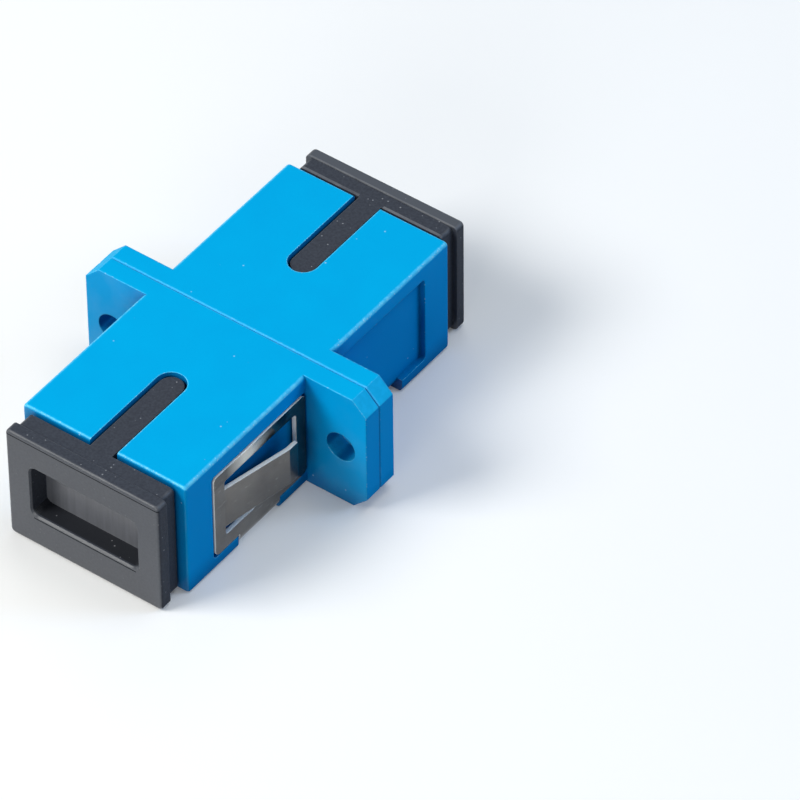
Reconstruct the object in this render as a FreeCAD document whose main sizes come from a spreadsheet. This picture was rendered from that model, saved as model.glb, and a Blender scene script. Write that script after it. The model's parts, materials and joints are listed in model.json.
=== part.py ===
import FreeCAD, Part
import os
from math import pi
import Sketcher

# SC simplex fibre adapter: two identical housing halves joined at the flange, two latch inserts with a
# split alignment sleeve between them, a folded panel clip on the front half, and a dust cap in each port.
# Millimetres. The origin is the centre of the seam between the halves, on the port axis.
# -Y is the front, the half that carries the clip, and +Z is the side with the key slots.

SIZES = {
    # housing half
    "body_width": 12.7,
    "body_height": 9.2,
    "half_length": 13.6,
    "body_edge_radius": 0.3,
    "end_edge_radius": 0.2,
    # half flange with its two ears
    "flange_thickness": 1.4,
    "ear_hole_pitch": 18.0,
    "ear_hole_diameter": 2.2,
    "ear_end_margin": 2.0,
    "ear_chamfer": 1.05,
    "seam_edge_break": 0.08,
    # port and key slot
    "port_width": 9.1,
    "port_height": 7.5,
    "port_corner_radius": 0.3,
    "port_lead_in": 0.25,
    "slot_width": 2.1,
    "slot_inner_end": 5.8,
    # seat of the clip: a shallow recess in each side, and a saddle across the underside
    "side_recess_depth": 0.4,
    "side_recess_clearance": 0.15,
    "side_recess_radius": 0.3,
    "saddle_depth": 0.32,
    "saddle_start": 4.25,
    "saddle_end": 8.55,
    "saddle_radius": 0.75,
    # locating pin and hole in the seam face
    "pin_diameter": 1.0,
    "pin_height": 0.8,
    "pin_x": 6.75,
    "pin_z": 3.1,
    "pin_clearance": 0.05,
    # latch insert
    "insert_width": 10.4,
    "insert_height": 8.0,
    "insert_thickness": 1.3,
    "insert_corner_radius": 0.5,
    "insert_clearance": 0.05,
    "tube_diameter": 5.0,
    "tube_lip": 0.6,
    "tube_lip_bore": 2.9,
    "tube_lead_in": 0.25,
    "hook_end": 8.2,
    "hook_inner": 2.95,
    "hook_thickness": 0.65,
    "hook_nose": 0.4,
    "hook_nose_back": 7.0,
    "hook_nose_crest": 7.45,
    "hook_width": 2.8,
    # split alignment sleeve
    "sleeve_length": 11.4,
    "sleeve_bore": 2.5,
    "sleeve_wall": 0.35,
    "sleeve_slot": 0.45,
    "sleeve_lead_in": 0.12,
    "sleeve_clearance": 0.05,
    # panel clip, folded from strip
    "strip_thickness": 0.3,
    "clip_side_gap": 0.15,
    "clip_rear": 1.55,
    "clip_front": 10.9,
    "clip_top": 3.2,
    "clip_bottom": 3.5,
    "clip_corner_radius": 0.4,
    "band_clearance": 0.1,
    "bend_radius": 0.6,
    "window_front_frame": 1.05,
    "window_rear_frame": 1.0,
    "window_top_frame": 0.95,
    "window_bottom_frame": 1.1,
    "window_corner_radius": 0.25,
    "tab_height": 3.2,
    "tab_tip": 3.75,
    "tab_tip_length": 0.85,
    "tab_reach": 1.05,
    "tab_taper": 0.14,
    # dust cap
    "plug_clearance": 0.1,
    "plug_wall": 0.6,
    "plug_inner_end": 7.0,
    "plug_corner_radius": 0.45,
    "plug_floor_setback": 0.4,
    "rib_clearance": 0.2,
    "rib_top": 4.38,
    "collar_gap": 0.25,
    "collar_width": 11.3,
    "collar_bottom": 4.35,
    "collar_thickness": 1.15,
    "plate_width": 11.95,
    "plate_top": 4.45,
    "plate_bottom": 4.5,
    "plate_thickness": 0.85,
    "plate_corner_radius": 0.35,
    "plate_edge_radius": 0.2,
    "grip_width": 8.3,
    "grip_top": 2.13,
    "grip_bottom": 1.95,
    "grip_depth": 1.5,
    "grip_radius": 0.5,
    "grip_lip": 0.12,
}

TINY = 1e-4

document = FreeCAD.newDocument("sc_fibre_adapter")


def make_sheet():
    """Put every size in a spreadsheet cell with its name as the alias."""
    sheet = document.addObject("Spreadsheet::Sheet", "Sizes")
    for row, (name, size) in enumerate(SIZES.items(), start=1):
        sheet.set(f"A{row}", name)
        sheet.set(f"B{row}", str(size))
        sheet.setAlias(f"B{row}", name)
    document.recompute()
    return sheet


sizes = make_sheet()


def number(expression):
    """The present value of an expression in the sheet's names."""
    return float(sizes.evalExpression(expression))


def bind(target, path, expression):
    """Tie a property of an object to an expression in the sheet's names."""
    words = expression.replace("(", " ( ").replace(")", " ) ").split()
    target.setExpression(path, " ".join(f"Sizes.{word}" if word in SIZES else word for word in words))


# ---- sketches ---------------------------------------------------------------------------------------


def origin_plane(body, role):
    return next(o for o in body.Origin.OriginFeatures if o.Role == role)


def new_sketch(body, name, role, offset="0"):
    """A sketch on one of the body's own planes, moved along the plane's normal by the offset."""
    sketch = body.newObject("Sketcher::SketchObject", name)
    sketch.AttachmentSupport = [(origin_plane(body, role), "")]
    sketch.MapMode = "FlatFace"
    if offset != "0":
        bind(sketch, "AttachmentOffset.Base.z", offset)
    return sketch


def place_point(sketch, geometry, point, across=None, up=None):
    """Hold a point at signed distances from the sketch's origin, given as expressions.

    In a sketch, geometry -1 is the across axis, which starts at the origin, and -2 is the up axis.
    """
    origin = (-1, 1)
    for kind, axis, expression in (("DistanceX", -2, across), ("DistanceY", -1, up)):
        if expression is None:
            continue
        distance = number(expression)
        if abs(distance) < TINY:
            sketch.addConstraint(Sketcher.Constraint("PointOnObject", geometry, point, axis))
            continue
        if distance > 0:
            ends = (*origin, geometry, point)
        else:
            ends = (geometry, point, *origin)
            expression = f"0 - ( {expression} )"
        index = sketch.addConstraint(Sketcher.Constraint(kind, *ends, abs(distance)))
        bind(sketch, f"Constraints[{index}]", expression)


def draw_polygon(sketch, corners):
    """A closed outline of straight lines through corners given as pairs of expressions."""
    points = [FreeCAD.Vector(number(across), number(up), 0) for across, up in corners]
    first = sketch.GeometryCount
    count = len(points)
    for i in range(count):
        sketch.addGeometry(Part.LineSegment(points[i], points[(i + 1) % count]), False)
    for i in range(count):
        ends = (first + i, 2, first + (i + 1) % count, 1)
        sketch.addConstraint(Sketcher.Constraint("Coincident", *ends))
    for i, (across, up) in enumerate(corners):
        place_point(sketch, first + i, 1, across, up)


def draw_circle(sketch, across, up, diameter):
    centre = FreeCAD.Vector(number(across), number(up), 0)
    round_line = Part.Circle(centre, FreeCAD.Vector(0, 0, 1), number(diameter) / 2)
    circle = sketch.addGeometry(round_line, False)
    index = sketch.addConstraint(Sketcher.Constraint("Diameter", circle, number(diameter)))
    bind(sketch, f"Constraints[{index}]", diameter)
    place_point(sketch, circle, 3, across, up)


def corner_arc(centre, radius, quarter):
    """A quarter circle that starts at quarter right angles from the across direction."""
    circle = Part.Circle(centre, FreeCAD.Vector(0, 0, 1), radius)
    start = quarter * pi / 2
    return Part.ArcOfCircle(circle, start, start + pi / 2)


def draw_rounded_rectangle(sketch, left, right, low, high, radius):
    """A rectangle with equal round corners, its four sides at signed distances from the origin."""
    x0, x1, y0, y1, r = (number(e) for e in (left, right, low, high, radius))
    point = FreeCAD.Vector
    bottom = sketch.addGeometry(Part.LineSegment(point(x0 + r, y0), point(x1 - r, y0)), False)
    side_right = sketch.addGeometry(Part.LineSegment(point(x1, y0 + r), point(x1, y1 - r)), False)
    top = sketch.addGeometry(Part.LineSegment(point(x1 - r, y1), point(x0 + r, y1)), False)
    side_left = sketch.addGeometry(Part.LineSegment(point(x0, y1 - r), point(x0, y0 + r)), False)
    arcs = [
        sketch.addGeometry(corner_arc(point(x1 - r, y0 + r), r, 3), False),
        sketch.addGeometry(corner_arc(point(x1 - r, y1 - r), r, 0), False),
        sketch.addGeometry(corner_arc(point(x0 + r, y1 - r), r, 1), False),
        sketch.addGeometry(corner_arc(point(x0 + r, y0 + r), r, 2), False),
    ]
    sides = [bottom, side_right, top, side_left]
    for i, arc in enumerate(arcs):
        sketch.addConstraint(Sketcher.Constraint("Tangent", sides[i], 2, arc, 1))
        sketch.addConstraint(Sketcher.Constraint("Tangent", arc, 2, sides[(i + 1) % 4], 1))
    for side in (bottom, top):
        sketch.addConstraint(Sketcher.Constraint("Horizontal", side))
    for side in (side_left, side_right):
        sketch.addConstraint(Sketcher.Constraint("Vertical", side))
    for arc in arcs[1:]:
        sketch.addConstraint(Sketcher.Constraint("Equal", arcs[0], arc))
    index = sketch.addConstraint(Sketcher.Constraint("Radius", arcs[0], r))
    bind(sketch, f"Constraints[{index}]", radius)
    place_point(sketch, bottom, 1, up=low)
    place_point(sketch, top, 1, up=high)
    place_point(sketch, side_left, 1, across=left)
    place_point(sketch, side_right, 1, across=right)


def draw_round_ended_slot(sketch, half_width, inner_end, outer_end):
    """A slot along the sketch's up direction, open at its outer end and half round at its inner one."""
    w, y0, y1 = number(half_width), number(inner_end), number(outer_end)
    point = FreeCAD.Vector
    left = sketch.addGeometry(Part.LineSegment(point(-w, y1), point(-w, y0 - w)), False)
    circle = Part.Circle(point(0, y0 - w), point(0, 0, 1), w)
    end = sketch.addGeometry(Part.ArcOfCircle(circle, 0, pi), False)
    right = sketch.addGeometry(Part.LineSegment(point(w, y0 - w), point(w, y1)), False)
    mouth = sketch.addGeometry(Part.LineSegment(point(w, y1), point(-w, y1)), False)
    sketch.addConstraint(Sketcher.Constraint("Tangent", left, 2, end, 2))
    sketch.addConstraint(Sketcher.Constraint("Tangent", right, 1, end, 1))
    sketch.addConstraint(Sketcher.Constraint("Coincident", right, 2, mouth, 1))
    sketch.addConstraint(Sketcher.Constraint("Coincident", mouth, 2, left, 1))
    for side in (left, right):
        sketch.addConstraint(Sketcher.Constraint("Vertical", side))
    sketch.addConstraint(Sketcher.Constraint("Horizontal", mouth))
    place_point(sketch, end, 3, across="0")
    index = sketch.addConstraint(Sketcher.Constraint("Radius", end, w))
    bind(sketch, f"Constraints[{index}]", half_width)
    place_point(sketch, end, 3, up=f"{inner_end} - {half_width}")
    place_point(sketch, mouth, 1, up=outer_end)


# ---- features ---------------------------------------------------------------------------------------


def new_body(name, label, turned):
    """An empty body. The rear pieces are the front mouldings turned half round the vertical axis."""
    body = document.addObject("PartDesign::Body", name)
    body.Label = label
    turn = FreeCAD.Rotation(FreeCAD.Vector(0, 0, 1), 180 if turned else 0)
    body.Placement = FreeCAD.Placement(FreeCAD.Vector(0, 0, 0), turn)
    return body


def pad(body, sketch, name, length, midplane=False):
    """Raise a sketch along its normal, or evenly to both sides of it."""
    feature = body.newObject("PartDesign::Pad", name)
    feature.Profile = sketch
    feature.Midplane = midplane
    bind(feature, "Length", length)
    document.recompute()
    return feature


def pocket(body, sketch, name, length=None, midplane=False):
    """Cut along the sketch's normal, to a depth or right through, and make sure that it cut something."""
    before = body.Shape.Volume
    feature = body.newObject("PartDesign::Pocket", name)
    feature.Profile = sketch
    feature.Reversed = not midplane
    feature.Midplane = midplane
    if length is None:
        feature.Type = "ThroughAll"
    else:
        bind(feature, "Length", length)
    document.recompute()
    if not body.Shape.Volume < before - TINY:
        raise RuntimeError(f"{name} cuts nothing")
    return feature


def mirror(body, name, features):
    """Repeat features on the other side of the body's middle plane."""
    feature = body.newObject("PartDesign::Mirrored", name)
    feature.Originals = features
    feature.MirrorPlane = (origin_plane(body, "YZ_Plane"), [""])
    body.Tip = feature
    document.recompute()
    return feature


def edge_names(shape, wanted):
    """The names of the edges that a test on their bounding box picks."""
    return [f"Edge{i}" for i, edge in enumerate(shape.Edges, start=1) if wanted(edge.BoundBox)]


def in_front_plane(distance):
    """A test for edges that lie in the plane at this distance in front of the seam."""
    return lambda box: abs(box.YMin + distance) < TINY and abs(box.YMax + distance) < TINY


def round_edges(body, name, kind, size, wanted):
    """Fillet or chamfer the picked edges of the body as it stands."""
    base = body.Tip
    feature = body.newObject(f"PartDesign::{kind}", name)
    feature.Base = (base, edge_names(base.Shape, wanted))
    bind(feature, "Radius" if kind == "Fillet" else "Size", size)
    document.recompute()
    return feature


# ---- housing ----------------------------------------------------------------------------------------


def housing_half(name, label, turned):
    """Half of the housing: a square tube with a key slot, half a flange and the clip's seat."""
    body = new_body(name, label, turned)
    housing_outside(body)
    housing_port(body)
    housing_clip_seat(body)
    housing_seam(body)
    return body


def housing_outside(body):
    """The square tube's outside and the flange, with rounded ends and a fine groove at the seam."""
    outline = new_sketch(body, "BodyOutline", "XZ_Plane")
    half_width, half_height = "body_width / 2", "body_height / 2"
    draw_rounded_rectangle(
        outline, f"0 - {half_width}", half_width, f"0 - {half_height}", half_height, "body_edge_radius"
    )
    pad(body, outline, "SquareTube", "half_length")
    round_edges(body, "PortEndRounding", "Fillet", "end_edge_radius", in_front_plane(number("half_length")))

    ears = new_sketch(body, "FlangeOutline", "XZ_Plane")
    end, top = "( ear_hole_pitch / 2 + ear_end_margin )", half_height
    inner_end, lower_top = f"{end} - ear_chamfer", f"{top} - ear_chamfer"
    quarter = [(inner_end, top), (end, lower_top)]
    right = quarter + [(across, f"0 - ( {up} )") for across, up in reversed(quarter)]
    left = [(f"0 - ( {across} )", up) for across, up in reversed(right)]
    draw_polygon(ears, right + left)
    pad(body, ears, "HalfFlange", "flange_thickness")
    round_edges(body, "SeamGroove", "Chamfer", "seam_edge_break", in_front_plane(0))

    holes = new_sketch(body, "EarHoles", "XZ_Plane")
    for side in ("ear_hole_pitch / 2", "0 - ear_hole_pitch / 2"):
        draw_circle(holes, side, "0", "ear_hole_diameter")
    pocket(body, holes, "EarHoleCut", "flange_thickness")


def housing_port(body):
    """The port right through, a lead-in at its mouth, the seat of the insert, and the key slot."""
    port = new_sketch(body, "PortOutline", "XZ_Plane")
    half_width, half_height = "port_width / 2", "port_height / 2"
    draw_rounded_rectangle(
        port, f"0 - {half_width}", half_width, f"0 - {half_height}", half_height, "port_corner_radius"
    )
    pocket(body, port, "Port")

    mouth = in_front_plane(number("half_length"))
    reach = number("port_width") / 2 + TINY
    round_edges(
        body, "PortLeadIn", "Chamfer", "port_lead_in", lambda box: mouth(box) and box.XMax < reach
        and box.XMin > -reach and abs(box.ZMax) < number("port_height") / 2 + TINY
    )

    seat = new_sketch(body, "InsertSeat", "XZ_Plane")
    half_width = "( insert_width / 2 + insert_clearance )"
    half_height = "( insert_height / 2 + insert_clearance )"
    draw_rounded_rectangle(
        seat, f"0 - {half_width}", half_width, f"0 - {half_height}", half_height, "insert_corner_radius"
    )
    pocket(body, seat, "InsertSeatCut", "insert_thickness")

    slot = new_sketch(body, "KeySlot", "XY_Plane")
    draw_round_ended_slot(slot, "slot_width / 2", "0 - slot_inner_end", "0 - half_length - port_lead_in")
    pocket(body, slot, "KeySlotCut")


def housing_clip_seat(body):
    """A shallow recess in each side for the clip's plates, and a saddle for its band underneath."""
    recess = new_sketch(body, "SideRecess", "YZ_Plane", "body_width / 2 - side_recess_depth")
    draw_rounded_rectangle(
        recess,
        "0 - clip_front - side_recess_clearance", "0 - flange_thickness",
        "0 - clip_bottom - side_recess_clearance", "clip_top + side_recess_clearance",
        "side_recess_radius",
    )
    cut = pocket(body, recess, "SideRecessCut")
    mirror(body, "OtherSideRecess", [cut])

    saddle = new_sketch(body, "Saddle", "XZ_Plane", "saddle_start")
    draw_saddle(saddle)
    pocket(body, saddle, "SaddleCut", "saddle_end - saddle_start")


def draw_saddle(sketch):
    """A channel section whose inside is the saddle: flat below, with large round corners."""
    floor = "0 - ( body_height / 2 - saddle_depth )"
    side = "( body_width / 2 - side_recess_depth )"
    shoulder = "0 - clip_bottom - side_recess_clearance + side_recess_radius"
    beyond, below = "body_width", "0 - body_height"
    w, r = number(side), number("saddle_radius")
    z0, z1 = number(floor), number(shoulder)
    point = FreeCAD.Vector
    far, deep = number(beyond), number(below)
    lines = [
        (point(-w, z1), point(-far, z1)),
        (point(-far, z1), point(-far, deep)),
        (point(-far, deep), point(far, deep)),
        (point(far, deep), point(far, z1)),
        (point(far, z1), point(w, z1)),
        (point(w, z1), point(w, z0 + r)),
    ]
    first = sketch.GeometryCount
    for start, finish in lines:
        sketch.addGeometry(Part.LineSegment(start, finish), False)
    right_arc = sketch.addGeometry(corner_arc(point(w - r, z0 + r), r, 3), False)
    flat = sketch.addGeometry(Part.LineSegment(point(w - r, z0), point(-w + r, z0)), False)
    left_arc = sketch.addGeometry(corner_arc(point(-w + r, z0 + r), r, 2), False)
    left_wall = sketch.addGeometry(Part.LineSegment(point(-w, z0 + r), point(-w, z1)), False)
    for i in range(5):
        sketch.addConstraint(Sketcher.Constraint("Coincident", first + i, 2, first + i + 1, 1))
    sketch.addConstraint(Sketcher.Constraint("Coincident", left_wall, 2, first, 1))
    for line, end, arc, arc_end in (
        (first + 5, 2, right_arc, 2),
        (flat, 1, right_arc, 1),
        (flat, 2, left_arc, 2),
        (left_wall, 1, left_arc, 1),
    ):
        sketch.addConstraint(Sketcher.Constraint("Tangent", line, end, arc, arc_end))
    for line in (first + 5, left_wall):
        sketch.addConstraint(Sketcher.Constraint("Vertical", line))
    sketch.addConstraint(Sketcher.Constraint("Horizontal", flat))
    sketch.addConstraint(Sketcher.Constraint("Equal", right_arc, left_arc))
    index = sketch.addConstraint(Sketcher.Constraint("Radius", right_arc, r))
    bind(sketch, f"Constraints[{index}]", "saddle_radius")
    place_point(sketch, flat, 1, up=floor)
    place_point(sketch, first, 1, across=f"0 - {side}", up=shoulder)
    place_point(sketch, first + 5, 1, across=side, up=shoulder)
    place_point(sketch, first + 1, 1, across=f"0 - {beyond}", up=shoulder)
    place_point(sketch, first + 2, 1, across=f"0 - {beyond}", up=below)
    place_point(sketch, first + 3, 1, across=beyond, up=below)
    place_point(sketch, first + 4, 1, across=beyond, up=shoulder)


def housing_seam(body):
    """A locating hole on one side of the seam face and a pin on the other."""
    hole = new_sketch(body, "LocatingHole", "XZ_Plane")
    draw_circle(hole, "0 - pin_x", "pin_z", "pin_diameter + 2 * pin_clearance")
    pocket(body, hole, "LocatingHoleCut", "pin_height + 2 * pin_clearance")
    pin = new_sketch(body, "LocatingPin", "XZ_Plane", "0 - pin_height")
    draw_circle(pin, "pin_x", "pin_z", "pin_diameter")
    pad(body, pin, "LocatingPinPad", "pin_height + pin_clearance")


# ---- latch insert and sleeve ------------------------------------------------------------------------


def latch_insert(name, label, turned):
    """A plate seated at the seam, with the sleeve's tube and the two hooks that hold a plug."""
    body = new_body(name, label, turned)
    plate = new_sketch(body, "InsertPlate", "XZ_Plane")
    half_width, half_height = "insert_width / 2", "insert_height / 2"
    draw_rounded_rectangle(
        plate, f"0 - {half_width}", half_width, f"0 - {half_height}", half_height, "insert_corner_radius"
    )
    pad(body, plate, "InsertPlatePad", "insert_thickness")

    tube_end = "( sleeve_length / 2 + sleeve_clearance + tube_lip )"
    tube = new_sketch(body, "Tube", "XZ_Plane")
    draw_circle(tube, "0", "0", "tube_diameter")
    pad(body, tube, "TubePad", tube_end)
    round_edges(body, "TubeLeadIn", "Chamfer", "tube_lead_in", in_front_plane(number(tube_end)))

    hook = new_sketch(body, "Hook", "XY_Plane")
    draw_polygon(hook, hook_outline())
    arm = pad(body, hook, "HookPad", "hook_width", midplane=True)
    mirror(body, "OtherHook", [arm])

    bore = new_sketch(body, "SleeveBore", "XZ_Plane")
    draw_circle(bore, "0", "0", "sleeve_bore + 2 * sleeve_wall + 2 * sleeve_clearance")
    pocket(body, bore, "SleeveBoreCut", "sleeve_length / 2 + sleeve_clearance")
    lip = new_sketch(body, "LipBore", "XZ_Plane")
    draw_circle(lip, "0", "0", "tube_lip_bore")
    pocket(body, lip, "LipBoreCut")
    return body


def hook_outline():
    """The hook from above: an arm with a nose at its end that slopes outside and catches inside."""
    inner, outer = "hook_inner", "( hook_inner + hook_thickness )"
    crest = "( hook_inner - hook_nose )"
    root = "0 - insert_thickness / 2"
    return [
        (outer, root),
        (inner, root),
        (inner, "0 - hook_nose_back"),
        (crest, "0 - hook_nose_back - hook_nose / 4"),
        (crest, "0 - hook_nose_crest"),
        (f"( {inner} + {outer} ) / 2", "0 - hook_end"),
        (outer, "0 - hook_end"),
    ]


def split_sleeve():
    """A thin ceramic tube with a lead-in at each end and a slot along one side."""
    body = new_body("SleeveBody", "split_sleeve", False)
    wall = new_sketch(body, "WallSection", "XY_Plane")
    inner, outer = "( sleeve_bore / 2 )", "( sleeve_bore / 2 + sleeve_wall )"
    end = "sleeve_length / 2"
    flare, shoulder = f"{inner} + sleeve_lead_in", f"{end} - sleeve_lead_in"
    draw_polygon(wall, [
        (inner, f"0 - ( {shoulder} )"),
        (flare, f"0 - {end}"),
        (outer, f"0 - {end}"),
        (outer, end),
        (flare, end),
        (inner, shoulder),
    ])
    tube = body.newObject("PartDesign::Revolution", "SleeveTube")
    tube.Profile = wall
    tube.ReferenceAxis = (wall, ["V_Axis"])
    tube.Angle = 360
    document.recompute()
    slot = new_sketch(body, "SleeveSlot", "XY_Plane")
    half_slot = "sleeve_slot / 2"
    draw_polygon(slot, [
        (f"0 - {half_slot}", "0 - sleeve_length"),
        (half_slot, "0 - sleeve_length"),
        (half_slot, "sleeve_length"),
        (f"0 - {half_slot}", "sleeve_length"),
    ])
    pocket(body, slot, "SleeveSlotCut")
    return body


# ---- panel clip -------------------------------------------------------------------------------------

CLIP_INNER_SIDE = "( body_width / 2 - side_recess_depth + clip_side_gap )"
WINDOW_FRONT = "0 - clip_front + window_front_frame"
WINDOW_TOP = "clip_top - window_top_frame"
WINDOW_BOTTOM = "0 - clip_bottom + window_bottom_frame"


def panel_clip():
    """One folded strip: a band under the housing, a plate up each side, and a sprung tab in each."""
    body = new_body("ClipBody", "panel_clip", False)
    section = new_sketch(body, "FoldedSection", "XZ_Plane", "clip_rear")
    draw_folded_section(section)
    pad(body, section, "FoldedStrip", "clip_front - clip_rear")
    clip_band_ends(body)
    clip_windows(body)
    clip_tabs(body)
    return body


def draw_folded_section(sketch):
    """The strip seen along the port axis: a U with equal bends, one strip thickness all round."""
    base = "( body_height / 2 - saddle_depth )"
    x0, z0, r = number(CLIP_INNER_SIDE), -number(base), number("bend_radius")
    t, top = number("strip_thickness"), number("clip_top")
    point = FreeCAD.Vector
    add = sketch.addGeometry
    outside_right = add(Part.LineSegment(point(x0 + t, top), point(x0 + t, z0 + r)), False)
    bend_out_right = add(corner_arc(point(x0 - r, z0 + r), r + t, 3), False)
    outside_base = add(Part.LineSegment(point(x0 - r, z0 - t), point(r - x0, z0 - t)), False)
    bend_out_left = add(corner_arc(point(r - x0, z0 + r), r + t, 2), False)
    outside_left = add(Part.LineSegment(point(-x0 - t, z0 + r), point(-x0 - t, top)), False)
    end_left = add(Part.LineSegment(point(-x0 - t, top), point(-x0, top)), False)
    inside_left = add(Part.LineSegment(point(-x0, top), point(-x0, z0 + r)), False)
    bend_in_left = add(corner_arc(point(r - x0, z0 + r), r, 2), False)
    inside_base = add(Part.LineSegment(point(r - x0, z0), point(x0 - r, z0)), False)
    bend_in_right = add(corner_arc(point(x0 - r, z0 + r), r, 3), False)
    inside_right = add(Part.LineSegment(point(x0, z0 + r), point(x0, top)), False)
    end_right = add(Part.LineSegment(point(x0, top), point(x0 + t, top)), False)
    join = sketch.addConstraint
    for line, line_end, arc, arc_end in (
        (outside_right, 2, bend_out_right, 2),
        (outside_base, 1, bend_out_right, 1),
        (outside_base, 2, bend_out_left, 2),
        (outside_left, 1, bend_out_left, 1),
        (inside_left, 2, bend_in_left, 1),
        (inside_base, 1, bend_in_left, 2),
        (inside_base, 2, bend_in_right, 1),
        (inside_right, 1, bend_in_right, 2),
    ):
        join(Sketcher.Constraint("Tangent", line, line_end, arc, arc_end))
    for first, second in (
        (outside_left, end_left), (end_left, inside_left), (inside_right, end_right),
    ):
        join(Sketcher.Constraint("Coincident", first, 2, second, 1))
    join(Sketcher.Constraint("Coincident", end_right, 2, outside_right, 1))
    for line in (outside_right, outside_left, inside_left, inside_right):
        join(Sketcher.Constraint("Vertical", line))
    for line in (outside_base, inside_base):
        join(Sketcher.Constraint("Horizontal", line))
    join(Sketcher.Constraint("Coincident", bend_in_right, 3, bend_out_right, 3))
    join(Sketcher.Constraint("Coincident", bend_in_left, 3, bend_out_left, 3))
    join(Sketcher.Constraint("Equal", bend_in_right, bend_in_left))
    index = join(Sketcher.Constraint("Radius", bend_in_right, r))
    bind(sketch, f"Constraints[{index}]", "bend_radius")
    place_point(sketch, inside_base, 1, up=f"0 - {base}")
    place_point(sketch, inside_right, 2, across=CLIP_INNER_SIDE, up="clip_top")
    place_point(sketch, outside_right, 1, across=f"{CLIP_INNER_SIDE} + strip_thickness", up="clip_top")
    place_point(sketch, inside_left, 1, across=f"0 - {CLIP_INNER_SIDE}", up="clip_top")
    place_point(sketch, end_left, 1, up="clip_top")


def clip_band_ends(body):
    """Cut the band and its bends away in front of the saddle and behind it, and round the corners."""
    ends = new_sketch(body, "BandEnds", "YZ_Plane")
    low, high = "0 - body_height", "0 - clip_bottom"
    band_front, band_rear = "0 - saddle_end + band_clearance", "0 - saddle_start - band_clearance"
    past_front, past_rear = "0 - clip_front - strip_thickness", "0 - clip_rear + strip_thickness"
    for start, finish in ((past_front, band_front), (band_rear, past_rear)):
        draw_polygon(ends, [(start, low), (finish, low), (finish, high), (start, high)])
    pocket(body, ends, "BandEndsCut", midplane=True)

    front, rear = number("clip_front"), number("clip_rear")
    top, bottom = number("clip_top"), number("clip_bottom")

    def plate_corner(box):
        at_front, at_rear = in_front_plane(front)(box), in_front_plane(rear)(box)
        level = box.ZLength < TINY and min(abs(box.ZMin - top), abs(box.ZMin + bottom)) < TINY
        return level and (at_front or at_rear)

    round_edges(body, "PlateCorners", "Fillet", "clip_corner_radius", plate_corner)


def clip_windows(body):
    """The window in each side plate that the tab stands in."""
    window = new_sketch(body, "Window", "YZ_Plane")
    draw_rounded_rectangle(
        window, WINDOW_FRONT, "0 - clip_rear - window_rear_frame", WINDOW_BOTTOM, WINDOW_TOP,
        "window_corner_radius"
    )
    pocket(body, window, "WindowCut", midplane=True)


def clip_tabs(body):
    """A tab from the front edge of each window that leans outwards and ends in a straight tip."""
    middle = f"( {WINDOW_TOP} + {WINDOW_BOTTOM} ) / 2"
    outer = f"( {CLIP_INNER_SIDE} + strip_thickness )"
    root, bend = f"{WINDOW_FRONT} - strip_thickness", "0 - tab_tip - tab_tip_length"
    tab = new_sketch(body, "Tab", "XY_Plane", middle)
    draw_polygon(tab, [
        (CLIP_INNER_SIDE, root),
        (outer, root),
        (outer, WINDOW_FRONT),
        (f"{outer} + tab_reach", bend),
        (f"{outer} + tab_reach", "0 - tab_tip"),
        (f"{CLIP_INNER_SIDE} + tab_reach", "0 - tab_tip"),
        (f"{CLIP_INNER_SIDE} + tab_reach", bend),
        (CLIP_INNER_SIDE, WINDOW_FRONT),
    ])
    lean = pad(body, tab, "TabPad", "tab_height", midplane=True)
    mirror(body, "OtherTab", [lean])

    taper = new_sketch(body, "TabTaper", "YZ_Plane")
    for sign in ("+", "-"):
        edge = f"{middle} {sign} tab_height / 2"
        tip_edge = f"{middle} {sign} ( tab_height / 2 - tab_taper )"
        draw_polygon(taper, [
            (WINDOW_FRONT, edge),
            ("0 - tab_tip + strip_thickness", edge),
            ("0 - tab_tip + strip_thickness", tip_edge),
        ])
    pocket(body, taper, "TabTaperCut", midplane=True)


# ---- dust cap ---------------------------------------------------------------------------------------


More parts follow.
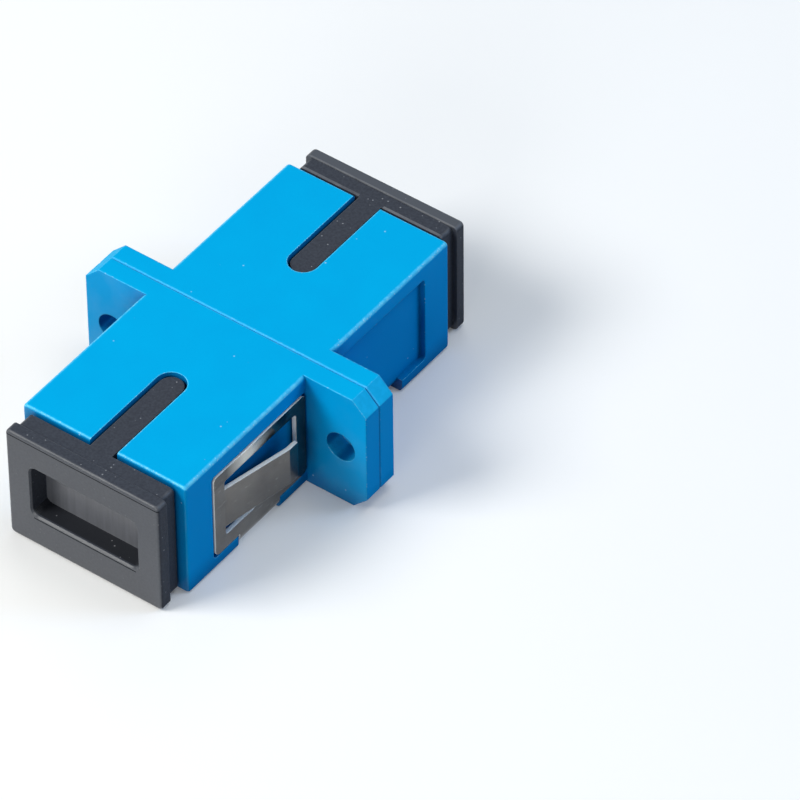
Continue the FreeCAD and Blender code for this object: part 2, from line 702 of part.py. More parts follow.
def dust_cap(name, label, turned):
    """A hollow plug with a key rib, behind a stepped plate with a grip recess in its face."""
    body = new_body(name, label, turned)
    half_plug = "( port_width / 2 - plug_clearance )"
    half_plug_height = "( port_height / 2 - plug_clearance )"
    collar_start = "( half_length + collar_gap )"
    collar_end = f"( {collar_start} + collar_thickness )"
    plate_end = f"( {collar_end} + plate_thickness )"

    plate = new_sketch(body, "Plate", "XZ_Plane", collar_end)
    draw_rounded_rectangle(
        plate, "0 - plate_width / 2", "plate_width / 2", "0 - plate_bottom", "plate_top",
        "plate_corner_radius"
    )
    pad(body, plate, "PlatePad", "plate_thickness")
    face = in_front_plane(number(plate_end))
    round_edges(body, "PlateRounding", "Fillet", "plate_edge_radius", face)

    collar = new_sketch(body, "Collar", "XZ_Plane", collar_start)
    draw_rounded_rectangle(
        collar, "0 - collar_width / 2", "collar_width / 2", "0 - collar_bottom", "rib_top",
        "plate_corner_radius"
    )
    pad(body, collar, "CollarPad", "collar_thickness")

    plug = new_sketch(body, "Plug", "XZ_Plane", "plug_inner_end")
    draw_rounded_rectangle(
        plug, f"0 - {half_plug}", half_plug, f"0 - {half_plug_height}", half_plug_height,
        "plug_corner_radius"
    )
    pad(body, plug, "PlugPad", f"{collar_start} - plug_inner_end")

    rib = new_sketch(body, "KeyRib", "XY_Plane", f"{half_plug_height} - plug_wall")
    draw_round_ended_slot(
        rib, "( slot_width / 2 - rib_clearance )", "0 - slot_inner_end - rib_clearance",
        f"0 - {collar_start}"
    )
    pad(body, rib, "KeyRibPad", f"rib_top - {half_plug_height} + plug_wall")

    hollow = new_sketch(body, "Hollow", "XZ_Plane", "plug_inner_end")
    half_width, half_height = f"( {half_plug} - plug_wall )", f"( {half_plug_height} - plug_wall )"
    draw_rounded_rectangle(
        hollow, f"0 - {half_width}", half_width, f"0 - {half_height}", half_height, "plug_corner_radius"
    )
    pocket(body, hollow, "HollowCut", "half_length - plug_floor_setback - plug_inner_end")

    grip = new_sketch(body, "Grip", "XZ_Plane", f"{plate_end} - grip_depth")
    draw_rounded_rectangle(
        grip, "0 - grip_width / 2", "grip_width / 2", "0 - grip_bottom", "grip_top", "grip_radius"
    )
    pocket(body, grip, "GripCut", "grip_depth")
    reach = number("grip_width") / 2 + TINY
    round_edges(
        body, "GripLip", "Chamfer", "grip_lip",
        lambda box: face(box) and box.XMax < reach and box.XMin > -reach
    )
    return body


# ---- the whole adapter ------------------------------------------------------------------------------


def check_document():
    """Stop if any object failed to build, which a recompute alone doesn't report."""
    document.recompute()
    for item in document.Objects:
        if "Invalid" in item.State or "Error" in item.State:
            raise RuntimeError(f"{item.Name} failed: {item.State}")
        if item.TypeId == "Sketcher::SketchObject" and not item.FullyConstrained:
            raise RuntimeError(f"{item.Name} is not fully constrained")


def write_pieces(pieces):
    """Check each piece's shape and write it to a file named after its label."""
    for piece in pieces:
        shape = piece.Shape
        if shape.isNull() or not shape.isValid() or len(shape.Solids) != 1:
            raise RuntimeError(f"{piece.Label} is not one valid solid")
    os.makedirs("parts", exist_ok=True)
    for piece in pieces:
        piece.Shape.exportStep(f"parts/{piece.Label}.step")


pieces = [
    housing_half("FrontHousing", "front_housing", False),
    housing_half("RearHousing", "rear_housing", True),
    latch_insert("FrontInsert", "front_latch_insert", False),
    latch_insert("RearInsert", "rear_latch_insert", True),
    split_sleeve(),
    panel_clip(),
    dust_cap("FrontCap", "front_dust_cap", False),
    dust_cap("RearCap", "rear_dust_cap", True),
]
check_document()
write_pieces(pieces)
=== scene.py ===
import json
import math

import bpy
from mathutils import Matrix, Vector


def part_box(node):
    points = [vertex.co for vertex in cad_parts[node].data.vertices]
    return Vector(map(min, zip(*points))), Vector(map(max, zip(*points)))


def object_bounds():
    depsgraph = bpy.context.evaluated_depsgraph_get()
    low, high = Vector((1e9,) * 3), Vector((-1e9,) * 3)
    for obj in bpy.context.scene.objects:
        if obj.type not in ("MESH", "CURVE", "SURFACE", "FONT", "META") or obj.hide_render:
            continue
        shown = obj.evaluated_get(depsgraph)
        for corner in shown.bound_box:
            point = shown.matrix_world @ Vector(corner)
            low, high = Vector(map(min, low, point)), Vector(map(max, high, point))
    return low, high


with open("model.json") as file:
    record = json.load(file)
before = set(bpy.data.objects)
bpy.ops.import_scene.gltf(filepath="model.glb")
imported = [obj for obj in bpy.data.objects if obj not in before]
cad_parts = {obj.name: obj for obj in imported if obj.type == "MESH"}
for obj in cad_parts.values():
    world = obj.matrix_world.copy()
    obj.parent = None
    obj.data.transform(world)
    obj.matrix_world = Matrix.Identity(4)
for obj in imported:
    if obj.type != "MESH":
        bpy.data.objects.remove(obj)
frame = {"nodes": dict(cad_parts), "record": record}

CAD_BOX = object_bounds()
MM = 0.001

# ---- places on the adapter, in mm from the middle of its seam ------------------------------------

ear_holes = next(
    mount["dims"] for mount in frame["record"]["mounts"] if mount["name"] == "flange_holes"
)
EAR_HOLE_X = ear_holes["spacing_x_mm"] / 2
EAR_HOLE_REACH = ear_holes["hole_r_mm"] + 0.1
BODY_SIDE = EAR_HOLE_X - 2.5  # between the ear hole and the side of the body
SEAM_HALF_WIDTH = 0.085

# The caps. Both are alike, so their outward distances hold for the front one too.
cap_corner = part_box("rear_dust_cap")[1] / MM
CAP_END, CAP_TOP = cap_corner.y, cap_corner.z
PLATE_FACE = CAP_END - 0.1  # just behind the outer face
GRIP_LIP = CAP_END - 0.15
GRIP_MOUTH = CAP_END - 0.25
GRIP_FLOOR = CAP_END - 1.35  # just outside the floor of the finger grip
GRIP_BACK = CAP_END - 1.65  # behind that floor
GRIP_HALF_WIDTH = 4.1
GRIP_HALF_HEIGHT = 2.2
GRIP_LIP_Z = 2.16
UPPER_LINE_Z = CAP_TOP - 0.33
LOWER_LINE_Z = -2.19
LOWER_LINE_END = 4.0
LINE_HALF_WIDTH = 0.05

# The rear cap's collar and plate edges and its plate top, which carry a painted highlight.
COLLAR_EDGE = CAP_END - 1.9
COLLAR_TOP = CAP_TOP - 0.2
PLATE_START = CAP_END - 0.85
PLATE_EDGE = CAP_END - 0.8
PLATE_TOP = CAP_TOP - 0.05
KEY_RIB_SIDE = 0.95

# The clip.
clip_low, clip_high = (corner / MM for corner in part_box("panel_clip"))
FLANGE_SHADE = (clip_low.y + 2.4, clip_high.y - 1.45)  # darkens towards the flange in between
BAND_SHINE = (clip_low.z + 0.78, clip_low.z + 0.28)  # the painted reflection brightens towards its fold in between
BAND_TOP = clip_low.z + 0.38
UPPER_STRIP = clip_high.z - 1.0  # the frame above the window starts here
TWIST_Y = clip_low.y + 3.5  # middle of the painted highlight on that frame

# ---- colours, as linear red, green, blue and opacity ---------------------------------------------

BLUE = (0.0, 0.395, 0.77, 1)
CLOUDY_BLUE = (0.0, 0.415, 0.79, 1)
# Shaded copies of the blue for upright faces: painted shade on the sides and end faces.
SHADED_SIDE_BLUE = (0.0, 0.345, 0.83, 1)
SHADED_END_BLUE = (0.0, 0.37, 0.80, 1)
# Painted shade in the seam, the ear holes and closed corners.
PAINTED_SHADE_BLUE = (0.0, 0.17, 0.46, 1)
# Chamfers painted lighter, as if lit.
CHAMFER_LIT_BLUE = (0.01, 0.54, 1.0, 1)
# Scuffed round edges and shoulders, with a painted highlight.
RUBBED_HIGHLIGHT_BLUE = (0.12, 0.66, 1.0, 1)
# A painted highlight on the seam's rear lip.
SEAM_LIP_HIGHLIGHT_BLUE = (0.05, 0.54, 1.0, 1)
NICKED_BLUE = (0.55, 0.82, 1.0, 1)
DUSTY_BLUE = (0.60, 0.85, 1.0, 1)

GREY = (0.041, 0.046, 0.060, 1)
MOTTLED_GREY = (0.054, 0.061, 0.078, 1)
# A painted highlight on the rear cap's plate top.
RIM_HIGHLIGHT_GREY = (0.090, 0.098, 0.115, 1)
# Painted shade in the grip's recess; the parting lines take this dark grey too.
RECESS_SHADE_AND_LINE_GREY = (0.022, 0.024, 0.030, 1)
# The grip floor's streaks, painted lighter as a reflection.
STREAKED_REFLECTION_GREY = (0.15, 0.155, 0.175, 1)
# Scuffed edges with a painted highlight.
RUBBED_HIGHLIGHT_GREY = (0.17, 0.175, 0.19, 1)
LINT_GREY = (0.40, 0.41, 0.44, 1)

# The plates' steel, darkened as a shaded copy of the band's: painted shade.
STEEL = (0.20, 0.187, 0.173, 1)
STAINED_STEEL = (0.14, 0.131, 0.122, 1)
SHADED_STEEL = (0.105, 0.099, 0.095, 1)
# A painted reflection on the band under the housing.
BAND_REFLECTION_STEEL = (0.62, 0.61, 0.59, 1)
# A painted reflection on the frame above the window, running from a highlight to dark.
TWIST_HIGHLIGHT = (0.85, 0.81, 0.72, 1)
TWIST_DARK_REFLECTION = (0.10, 0.098, 0.094, 1)
# Scratches, and a painted highlight along the edges.
SCRATCHED_AND_LIT_STEEL = (0.78, 0.77, 0.75, 1)
# Cut edges painted bright as a highlight.
CUT_HIGHLIGHT_STEEL = (1.0, 0.98, 0.92, 1)

IVORY = (0.74, 0.71, 0.61, 1)
CLOUDY_IVORY = (0.68, 0.65, 0.55, 1)
# A painted highlight along the edges.
IVORY_EDGE_HIGHLIGHT = (0.84, 0.82, 0.75, 1)

ZIRCONIA = (0.80, 0.80, 0.78, 1)
CLOUDY_ZIRCONIA = (0.76, 0.76, 0.73, 1)
# A painted highlight along the edges.
ZIRCONIA_EDGE_HIGHLIGHT = (0.86, 0.86, 0.85, 1)

FLOOR_WHITE = (0.89, 0.89, 0.89, 1)
FLOOR_BRIGHT = (0.91, 0.91, 0.91, 1)
FLOOR_DIM = (0.36, 0.36, 0.36, 1)

# The Mix node's sockets for colours.
MIX_FACTOR, MIX_FIRST, MIX_SECOND, MIX_RESULT = 0, 6, 7, 2

# ---- shader building -----------------------------------------------------------------------------


class Amount:
    """A value that varies over a surface: a shader socket that takes part in Python arithmetic."""

    def __init__(self, finish, socket):
        self.finish = finish
        self.socket = socket

    def _with(self, operation, first, second):
        """A Math node on two amounts or numbers."""
        inputs = {0: first, 1: second}
        return self.finish.node("ShaderNodeMath", {"operation": operation}, inputs)

    def __add__(self, other):
        return self._with("ADD", self, other)

    def __sub__(self, other):
        return self._with("SUBTRACT", self, other)

    def __rsub__(self, other):
        return self._with("SUBTRACT", other, self)

    def __mul__(self, other):
        return self._with("MULTIPLY", self, other)

    def __abs__(self):
        return self._with("ABSOLUTE", self, 0.0)

    def over(self, limit):
        """1 where this is more than the limit, and 0 elsewhere."""
        return self._with("GREATER_THAN", self, limit)

    def under(self, limit):
        """1 where this is less than the limit, and 0 elsewhere."""
        return self._with("LESS_THAN", self, limit)

    def near(self, place, reach):
        """1 where this is within reach of the place, and 0 elsewhere."""
        return abs(self - place).under(reach)

    def most(self, other):
        """The larger of the two."""
        return self._with("MAXIMUM", self, other)

    def ramp(self, low, high, start=0.0, end=1.0):
        """Runs from start at low to end at high, and holds still beyond them."""
        inputs = {"Value": self, "From Min": low, "From Max": high, "To Min": start, "To Max": end}
        return self.finish.node("ShaderNodeMapRange", {"clamp": True}, inputs)

    def between(self, start, end):
        """An amount of 0 to 1, drawn in to run from start to end."""
        return self.ramp(0.0, 1.0, start, end)

    def spread(self, start=0.0, end=1.0):
        """The usual range of a noise, drawn out to run from start to end."""
        return self.ramp(0.3, 0.7, start, end)

    __radd__ = __add__
    __rmul__ = __mul__


class Finish:
    """A material under construction, with the nodes that its surface shares."""

    def __init__(self, name):
        self.material = bpy.data.materials.new(name)
        self.material.use_nodes = True
        self.tree = self.material.node_tree
        self.tree.nodes.clear()
        metres = self.node("ShaderNodeTexCoord", output="Object")
        self.mm = self.vector("SCALE", {0: metres, "Scale": 1 / MM})
        self.flat = self.node("ShaderNodeNewGeometry", output="Normal")

    def node(self, kind, settings=None, inputs=None, output=0):
        """Adds a node: its type, its settings, then its sockets' values or links.

        Gives the output of that name or number, or all of them for None.
        """
        new = self.tree.nodes.new(kind)
        for name, setting in (settings or {}).items():
            setattr(new, name, setting)
        for name, value in (inputs or {}).items():
            if isinstance(value, Amount):
                self.tree.links.new(value.socket, new.inputs[name])
            else:
                new.inputs[name].default_value = value
        if output is None:
            return [Amount(self, socket) for socket in new.outputs]
        return Amount(self, new.outputs[output])

    def vector(self, operation, inputs, output="Vector"):
        """A Vector Math node."""
        return self.node("ShaderNodeVectorMath", {"operation": operation}, inputs, output)

    def parts(self, vector):
        """A vector's amounts across (X), along the port axis (Y) and up (Z)."""
        return self.node("ShaderNodeSeparateXYZ", inputs={"Vector": vector}, output=None)

    def mix(self, amount, first, second):
        """The first colour where amount is 0, the second where it is 1."""
        settings = {"data_type": "RGBA", "clamp_factor": True}
        inputs = {MIX_FACTOR: amount, MIX_FIRST: first, MIX_SECOND: second}
        return self.node("ShaderNodeMix", settings, inputs, MIX_RESULT)

    def noise(self, per_mm, detail=2.0, stretch=None, roughness=0.5):
        """Soft noise with that many grains to a millimetre, optionally drawn out along an axis."""
        place = self.mm if stretch is None else self.vector("MULTIPLY", {0: self.mm, 1: stretch})
        inputs = {"Vector": place, "Scale": per_mm, "Detail": detail, "Roughness": roughness}
        return self.node("ShaderNodeTexNoise", {}, inputs, "Fac")

    def specks(self, per_mm, size, share):
        """Small round dots: one to a cell in that share of the cells."""
        inputs = {"Vector": self.mm, "Scale": per_mm}
        settings = {"feature": "F1"}
        distance = self.node("ShaderNodeTexVoronoi", settings, inputs, "Distance")
        cell = self.node("ShaderNodeTexVoronoi", settings, inputs, "Color")
        chance, growth, _ = self.node("ShaderNodeSeparateColor", inputs={0: cell}, output=None)
        radius = growth.between(size * per_mm * 0.4, size * per_mm)
        return (radius - distance).ramp(0.0, size * per_mm * 0.5) * chance.under(share)

    def edge(self, radius_mm):
        """(rounded normal, how close to an outer edge) for sharp edges broken by that radius."""
        rounded = self.node("ShaderNodeBevel", {"samples": 8}, {"Radius": radius_mm * MM})
        turn = 1 - self.vector("DOT_PRODUCT", {0: rounded, 1: self.flat}, "Value")
        return rounded, turn.ramp(0.0, 0.18) * self.room(2.5 * radius_mm).ramp(0.7, 0.95)

    def room(self, distance_mm):
        """How open the surface is up to that distance: 0 deep in a hole, 1 outside."""
        inputs = {"Distance": distance_mm * MM}
        return self.node("ShaderNodeAmbientOcclusion", {"samples": 6}, inputs, "AO")

    def slope(self, rounded):
        """1 on open surfaces that slant upwards, as a chamfer does, and 0 on square ones."""
        across, along, up = self.parts(rounded)
        squarest = abs(across).most(abs(along)).most(abs(up))
        return squarest.ramp(0.995, 0.9) * up.ramp(0.2, 0.5) * self.room(0.9).ramp(0.86, 0.98)

    def bump(self, height, depth_mm, normal):
        """A normal that follows the height, where a height of 1 is that depth."""
        inputs = {"Height": height, "Distance": depth_mm * MM, "Strength": 1.0, "Normal": normal}
        return self.node("ShaderNodeBump", {}, inputs)

    def principled(self, **sockets):
        """A Principled shader with these sockets."""
        inputs = {name.replace("_", " "): value for name, value in sockets.items()}
        return self.node("ShaderNodeBsdfPrincipled", {}, inputs)

    def surface(self, **sockets):
        """Ends the material in one Principled shader with these sockets."""
        return self.close(self.principled(**sockets))

    def close(self, shader):
        """Ends the material in this shader."""
        self.node("ShaderNodeOutputMaterial", {}, {"Surface": shader}, None)
        return self.material


# ---- finishes ------------------------------------------------------------------------------------


def blue_moulding():
    """The housing's blue: hazy end faces, matt sides, chamfers and round edges with nicks.

    The sides and end faces are a shaded copy of the blue: painted shade. The chamfers are
    painted lighter in patches, as if lit. Round edges and the body's shoulders are scuffed pale
    and carry a painted highlight, as does the seam's rear lip. Painted shade darkens the seam,
    the ear holes and closed corners. A little dust lies on it.
    """
    finish = Finish("blue_moulding")
    across, along, up = finish.parts(finish.mm)
    _, faces_end, faces_up = finish.parts(finish.flat)
    rounded, edge = finish.edge(0.14)
    cloud = finish.noise(0.35, 3.0)
    grain = finish.noise(9.0, 3.0)
    # Patches for wear and for painted highlights.
    wear_and_highlight = finish.noise(2.6, 4.0).ramp(0.42, 0.62)
    dust = finish.specks(0.9, 0.09, 0.6)

    polished = abs(faces_end).ramp(0.6, 0.9)
    upright = 1 - abs(faces_up).ramp(0.3, 0.6)
    slanting = finish.slope(rounded)
    # The body's slanting shoulders carry a painted highlight.
    shoulder = slanting * abs(across).under(BODY_SIDE)
    nick = finish.noise(7.0).ramp(0.60, 0.68) * edge.most(shoulder * 0.7)
    # Painted shade in the seam, and a painted highlight on its rear lip.
    seam = abs(along).under(SEAM_HALF_WIDTH) * faces_up.over(0.2)
    seam_lip_highlight = seam * along.over(0.01)
    # Painted shade inside the ear holes.
    ear_hole = abs(across).near(EAR_HOLE_X, EAR_HOLE_REACH) * abs(up).under(EAR_HOLE_REACH)
    bore_shade = ear_hole * (1 - polished)
    # Painted shade in closed corners.
    closed = finish.room(2.0).ramp(0.96, 0.5)
    # Scuffed edges and shoulders, with a painted highlight.
    rubbed_and_lit = wear_and_highlight.between(0.4, 1.0) * (slanting * edge).most(shoulder)

    top = finish.mix(cloud.spread(), BLUE, CLOUDY_BLUE)
    # Upright faces take the shaded copies of the blue: painted shade.
    shaded_wall = finish.mix(polished, SHADED_SIDE_BLUE, SHADED_END_BLUE)
    side_shaded = finish.mix(upright, top, shaded_wall)
    # Painted shade in the seam, the ear holes and closed corners.
    deep = finish.mix(closed.most(bore_shade).most(seam * 0.6), side_shaded, PAINTED_SHADE_BLUE)
    # Chamfers painted lighter in patches, as if lit.
    lighter = finish.mix(slanting * wear_and_highlight.between(0.75, 1.0), deep, CHAMFER_LIT_BLUE)
    pale = finish.mix(rubbed_and_lit, lighter, RUBBED_HIGHLIGHT_BLUE)
    seam_lit = finish.mix(seam_lip_highlight, pale, SEAM_LIP_HIGHLIGHT_BLUE)
    nicked = finish.mix(nick * 0.75, seam_lit, NICKED_BLUE)
    dusty = finish.mix(dust * 0.45, nicked, DUSTY_BLUE)

    haze = cloud.ramp(0.4, 0.6, 0.2, 0.6) + up.ramp(0.0, -4.0, 0.0, 0.4)
    height = grain * 0.6 + nick * -2.0 + dust * 1.5
    return finish.surface(
        Base_Color=dusty,
        Roughness=cloud.spread(0.36, 0.42) + nick * 0.2,
        IOR=1.46,
        Specular_IOR_Level=0.01,
        Coat_Weight=polished * (1 - seam) * haze + shoulder * 0.3 + 0.01,
        Coat_Roughness=0.28,
        Coat_IOR=1.45,
        Normal=finish.bump(height, 0.0025, rounded),
    )


def cap_moulding():
    """The dust caps' dark grey: hazy end faces with parting lines, matt sides and mottled grain.

    The edges, the grip's lip and the rear cap's collar and plate edges are scuffed pale and carry
    a painted highlight; the rear cap's plate top has one too. Painted shade darkens the grip's
    recess, whose floor has streaks and is painted lighter as a reflection. Lint lies on the sides
    and top.
    """
    finish = Finish("cap_moulding")
    across, along, up = finish.parts(finish.mm)
    _, faces_end, faces_up = finish.parts(finish.flat)
    rounded, edge = finish.edge(0.09)
    cloud = finish.noise(0.6, 3.0)
    mottle = finish.noise(6.0, 4.0)
    grain = finish.noise(14.0, 3.0)
    streak = finish.noise(5.0, 3.0, (1.0, 1.0, 0.06)).ramp(0.35, 0.7)

    polished = abs(faces_end).ramp(0.6, 0.9)
    slanting = finish.slope(rounded)
    lint = finish.specks(2.4, 0.07, 0.55) * (1 - polished * 0.8)
    inside = abs(across).under(GRIP_HALF_WIDTH) * abs(up).under(GRIP_HALF_HEIGHT)
    # The grip's recess, darkened with painted shade.
    recess = inside * abs(along).under(GRIP_MOUTH) * abs(along).over(GRIP_BACK)
    # The grip's floor, painted lighter as a reflection.
    floor = recess * abs(along).under(GRIP_FLOOR) * polished
    # A painted highlight on the grip's lip.
    grip_lip = inside * up.near(GRIP_LIP_Z, LINE_HALF_WIDTH) * abs(along).over(GRIP_LIP)
    upper_line = up.near(UPPER_LINE_Z, LINE_HALF_WIDTH)
    lower_line = up.near(LOWER_LINE_Z, LINE_HALF_WIDTH) * abs(across).under(LOWER_LINE_END)
    parting = upper_line.most(lower_line) * abs(along).over(PLATE_FACE)
    beside_rib = abs(across).over(KEY_RIB_SIDE)
    # Painted highlights on the rear cap's collar and plate edges.
    collar_brow = along.near(COLLAR_EDGE, 0.1) * up.over(COLLAR_TOP) * beside_rib
    plate_brow = along.near(PLATE_EDGE, 0.06) * up.over(PLATE_TOP)
    # A painted highlight on the rear cap's plate top.
    rear_rim_highlight = along.over(PLATE_START) * faces_up.over(0.6)
    # Scuffed edges that also carry a painted highlight.
    wear_and_highlight = edge.most(slanting * 0.6).most(collar_brow.most(plate_brow)).most(grip_lip * 0.6)
    rubbed_and_lit = wear_and_highlight * cloud.ramp(0.35, 0.6, 0.4, 0.9)

    base = finish.mix(mottle.ramp(0.35, 0.65), GREY, MOTTLED_GREY)
    rim_lit = finish.mix(rear_rim_highlight, base, RIM_HIGHLIGHT_GREY)
    # Painted shade in the grip's recess, and the dark parting lines.
    dark = finish.mix(recess.most(parting), rim_lit, RECESS_SHADE_AND_LINE_GREY)
    # The grip's floor has streaks and is painted lighter as a reflection.
    streaked_reflection = finish.mix(floor * streak.between(0.8, 1.0), dark, STREAKED_REFLECTION_GREY)
    pale = finish.mix(rubbed_and_lit, streaked_reflection, RUBBED_HIGHLIGHT_GREY)
    linted = finish.mix(lint * 0.6, pale, LINT_GREY)

    haze = up.ramp(2.0, -4.0, 0.74, 0.96)
    height = grain * 0.8 + lint * 1.2 + floor * streak * 0.8
    return finish.surface(
        Base_Color=linted,
        Roughness=cloud.spread(0.38, 0.46),
        IOR=1.5,
        Specular_IOR_Level=0.05,
        Coat_Weight=polished * (1 - parting) * haze + slanting * 0.12 + 0.02,
        Coat_Roughness=0.30,
        Coat_IOR=1.65,
        Normal=finish.bump(height, 0.004, rounded),
    )


def clip_strip():
    """Rolled spring strip: fine rolling lines, stains and scratches, with coarse cut edges.

    The plates' steel is a dark, shaded copy, and painted shade darkens it towards the flange.
    A painted reflection brightens the band under the housing; another on the frame above the
    window runs from a highlight to dark. Cut edges and the other edges carry painted highlights.
    """
    finish = Finish("clip_strip")
    _, along, up = finish.parts(finish.mm)
    faces_side, _, faces_up = finish.parts(finish.flat)
    rounded, edge = finish.edge(0.10)
    rolling = finish.noise(6.0, 4.0, (1.0, 1.0, 0.05))
    stain = finish.noise(0.5, 4.0)
    scratch = finish.noise(3.0, 6.0, (1.0, 0.15, 1.0), 0.75).ramp(0.60, 0.72)
    sheared = finish.noise(12.0, 3.0, (0.3, 1.0, 1.0))
    wavy = finish.noise(0.45, 1.0)

    underside = up.under(BAND_TOP) * abs(faces_up).over(0.6)
    cut = (1 - abs(faces_side).over(0.6)) * (1 - underside)
    # Distance from the painted highlight on the frame above the window.
    off_highlight = abs(along - TWIST_Y).ramp(0.4, 2.2)

    # The plates' steel is a dark, shaded copy: painted shade.
    plate = finish.mix(stain.ramp(0.35, 0.7), STEEL, STAINED_STEEL)
    shaded = finish.mix(along.ramp(*FLANGE_SHADE, 0.0, 0.7), plate, SHADED_STEEL)
    # A painted reflection brightens the band towards its fold.
    face = finish.mix(up.ramp(*BAND_SHINE), shaded, BAND_REFLECTION_STEEL)
    # The painted reflection on the frame above the window: a highlight fading to dark.
    twist_reflection = finish.mix(off_highlight, TWIST_HIGHLIGHT, TWIST_DARK_REFLECTION)
    twist_reflected = finish.mix(up.over(UPPER_STRIP) * 0.85, face, twist_reflection)
    # Scratches, and a painted highlight along the edges.
    scratched_and_edge_lit = finish.mix(scratch * 0.35 + edge * 0.4, twist_reflected, SCRATCHED_AND_LIT_STEEL)
    # Cut edges painted bright as a highlight.
    cut_and_lit = finish.mix(cut, scratched_and_edge_lit, CUT_HIGHLIGHT_STEEL)

    height = rolling * 0.25 + scratch * -0.6 + cut * sheared * 5.0 + wavy * 24.0
    return finish.surface(
        Base_Color=cut_and_lit,
        Metallic=1 - cut * 0.8,
        Roughness=stain.spread(0.16, 0.24) + cut * 0.25 + scratch * 0.1,
        Normal=finish.bump(height, 0.0015, rounded),
    )


def natural_moulding():
    """The latch inserts' unpigmented plastic: ivory, waxy and a little cloudy."""
    finish = Finish("natural_moulding")
    rounded, edge = finish.edge(0.07)
    cloud = finish.noise(0.5, 3.0)
    grain = finish.noise(9.0, 3.0)
    base = finish.mix(cloud.spread(), IVORY, CLOUDY_IVORY)
    # A painted highlight along the edges.
    pale = finish.mix(edge * 0.4, base, IVORY_EDGE_HIGHLIGHT)
    return finish.surface(
        Base_Color=pale,
        Roughness=cloud.spread(0.42, 0.5),
        IOR=1.5,
        Normal=finish.bump(grain, 0.003, rounded),
    )


def ground_ceramic():
    """The sleeve's white zirconia, ground round: fine rings on a glossy surface."""
    finish = Finish("ground_ceramic")
    rounded, edge = finish.edge(0.03)
    rings = finish.noise(16.0, 3.0, (0.05, 1.0, 0.05))
    cloud = finish.noise(0.8)
    base = finish.mix(cloud.spread(), ZIRCONIA, CLOUDY_ZIRCONIA)
    # A painted highlight along the edges.
    pale = finish.mix(edge * 0.5, base, ZIRCONIA_EDGE_HIGHLIGHT)
    return finish.surface(
        Base_Color=pale,
        Roughness=rings.spread(0.14, 0.26),
        IOR=2.1,
        Normal=finish.bump(rings, 0.001, rounded),
    )


def pale_floor():
    """The studio's plain white table: it keeps the adapter's shadow and reflects little light."""
    finish = Finish("pale_floor")
    white = finish.mix(finish.noise(0.02).spread(), FLOOR_WHITE, FLOOR_BRIGHT)
    bright = finish.principled(
        Base_Color=white,
        Roughness=1.0,
        Specular_IOR_Level=0.0,
        Emission_Color=white,
        Emission_Strength=0.11,
    )
    dim = finish.node("ShaderNodeBsdfDiffuse", {}, {"Color": FLOOR_DIM})
    seen, mirrored, through = (
        finish.node("ShaderNodeLightPath", output=f"Is {ray} Ray")
        for ray in ("Camera", "Glossy", "Transmission")
    )
    straight = seen.most(mirrored).most(through)
    return finish.close(finish.node("ShaderNodeMixShader", {}, {0: straight, 1: dim, 2: bright}))


def dress(finishes):
    """Gives every CAD node the finish of its material slot in the record."""
    slots = {part["node"]: part["material_slot"] for part in frame["record"]["subparts"]}
    for name, node in frame["nodes"].items():
        node.data.materials.clear()
        node.data.materials.append(finishes[slots[name]])


# ---- studio --------------------------------------------------------------------------------------


def lay_floor():
    """A wide flat floor that the adapter lies on."""
    half_side = 1.5
    clearance = 0.02 * MM
    level = CAD_BOX[0].z - clearance
    corners = [(-1, -1), (1, -1), (1, 1), (-1, 1)]
    mesh = bpy.data.meshes.new("floor")
    mesh.from_pydata(
        [(x * half_side, y * half_side, level) for x, y in corners], [], [(0, 1, 2, 3)]
    )
    floor = bpy.data.objects.new("floor", mesh)
    bpy.context.scene.collection.objects.link(floor)
    mesh.materials.append(pale_floor())


def hang_softbox(name, place, size, level, colour):
    """A square area light aimed at the adapter, which alone would light it to that level."""
    place = Vector(place)
    lamp = bpy.data.lights.new(name, "AREA")
    lamp.shape = "SQUARE"
    lamp.size = size
    lamp.color = colour
    lamp.energy = level * (math.pi * place.length) ** 2
    holder = bpy.data.objects.new(name, lamp)
    holder.location = place
    holder.rotation_mode = "QUATERNION"
    holder.rotation_quaternion = (-place).to_track_quat("-Z", "Y")
    bpy.context.scene.collection.objects.link(holder)


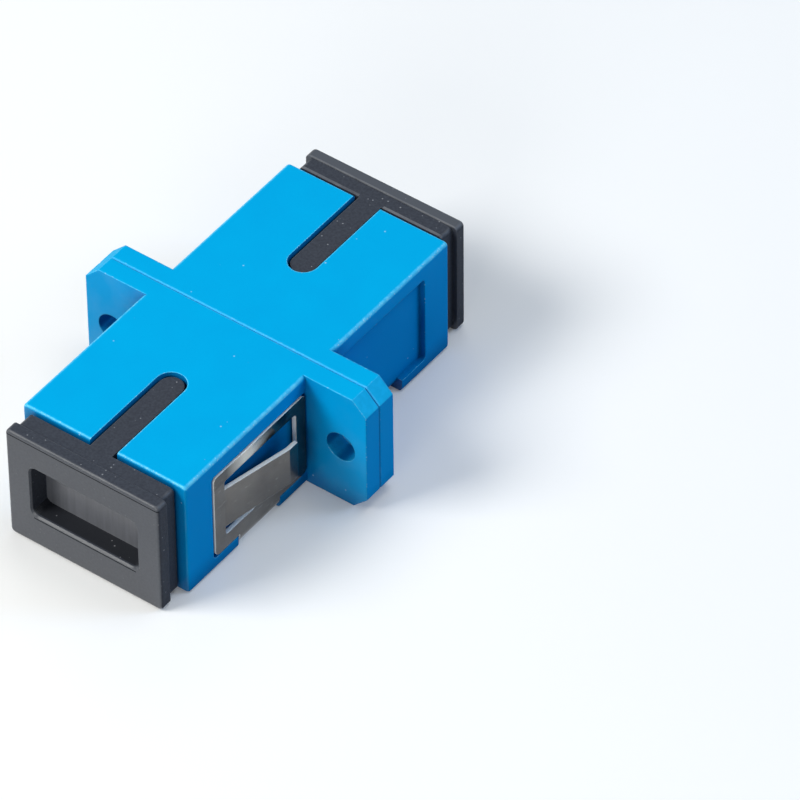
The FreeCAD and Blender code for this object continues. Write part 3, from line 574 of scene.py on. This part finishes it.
def light_studio():
    """Softboxes and a dim blue surround.

    A key at the front left, one overhead, a cool rim behind on the right, a faint broad one behind
    on the left, and a low fill in front.
    """
    white, cool = (1.0, 0.99, 0.95), (0.45, 0.66, 1.0)
    for name, place, size, level, colour in (
        ("key", (-0.185, -0.225, 0.275), 0.18, 0.80, white),
        ("overhead", (0.07, 0.07, 0.388), 0.22, 0.25, white),
        ("rim", (0.27, 0.21, 0.20), 0.12, 0.26, cool),
        ("back", (-0.194, 0.257, 0.315), 0.25, 0.10, white),
        ("fill", (0.11, -0.37, 0.12), 0.16, 0.25, white),
    ):
        hang_softbox(name, place, size, level, colour)
    world = bpy.data.worlds.new("studio")
    world.use_nodes = True
    background = world.node_tree.nodes["Background"]
    background.inputs["Color"].default_value = (0.5, 0.74, 1.0, 1)
    background.inputs["Strength"].default_value = 0.11
    bpy.context.scene.world = world


def set_camera():
    """A long lens above the front right corner, turned a hair so that the verticals stand."""
    azimuth, elevation, roll = (math.radians(angle) for angle in (36.892, 44.479, -0.594))
    distance, shift_right, shift_down = 494.365, 10.09, 1.585
    back = Vector((
        math.sin(azimuth) * math.cos(elevation),
        -math.cos(azimuth) * math.cos(elevation),
        math.sin(elevation),
    ))
    level = Vector((math.cos(azimuth), math.sin(azimuth), 0.0))
    rise = back.cross(level)
    right = level * math.cos(roll) + rise * math.sin(roll)
    up = rise * math.cos(roll) - level * math.sin(roll)
    camera = bpy.data.cameras.new("camera")
    camera.sensor_width = 36.0
    camera.lens = 354.22
    camera.clip_start = 0.05
    camera.clip_end = 5.0
    holder = bpy.data.objects.new("camera", camera)
    turn = Matrix((right, up, back)).transposed().to_4x4()
    place = back * distance * MM + right * shift_right * MM - up * shift_down * MM
    holder.matrix_world = Matrix.Translation(place) @ turn
    bpy.context.scene.collection.objects.link(holder)
    bpy.context.scene.camera = holder


set_camera()
lay_floor()
light_studio()
dress({
    "housing_plastic": blue_moulding(),
    "cap_plastic": cap_moulding(),
    "clip_steel": clip_strip(),
    "insert_plastic": natural_moulding(),
    "sleeve_ceramic": ground_ceramic(),
})
bpy.context.scene.view_settings.view_transform = "Standard"
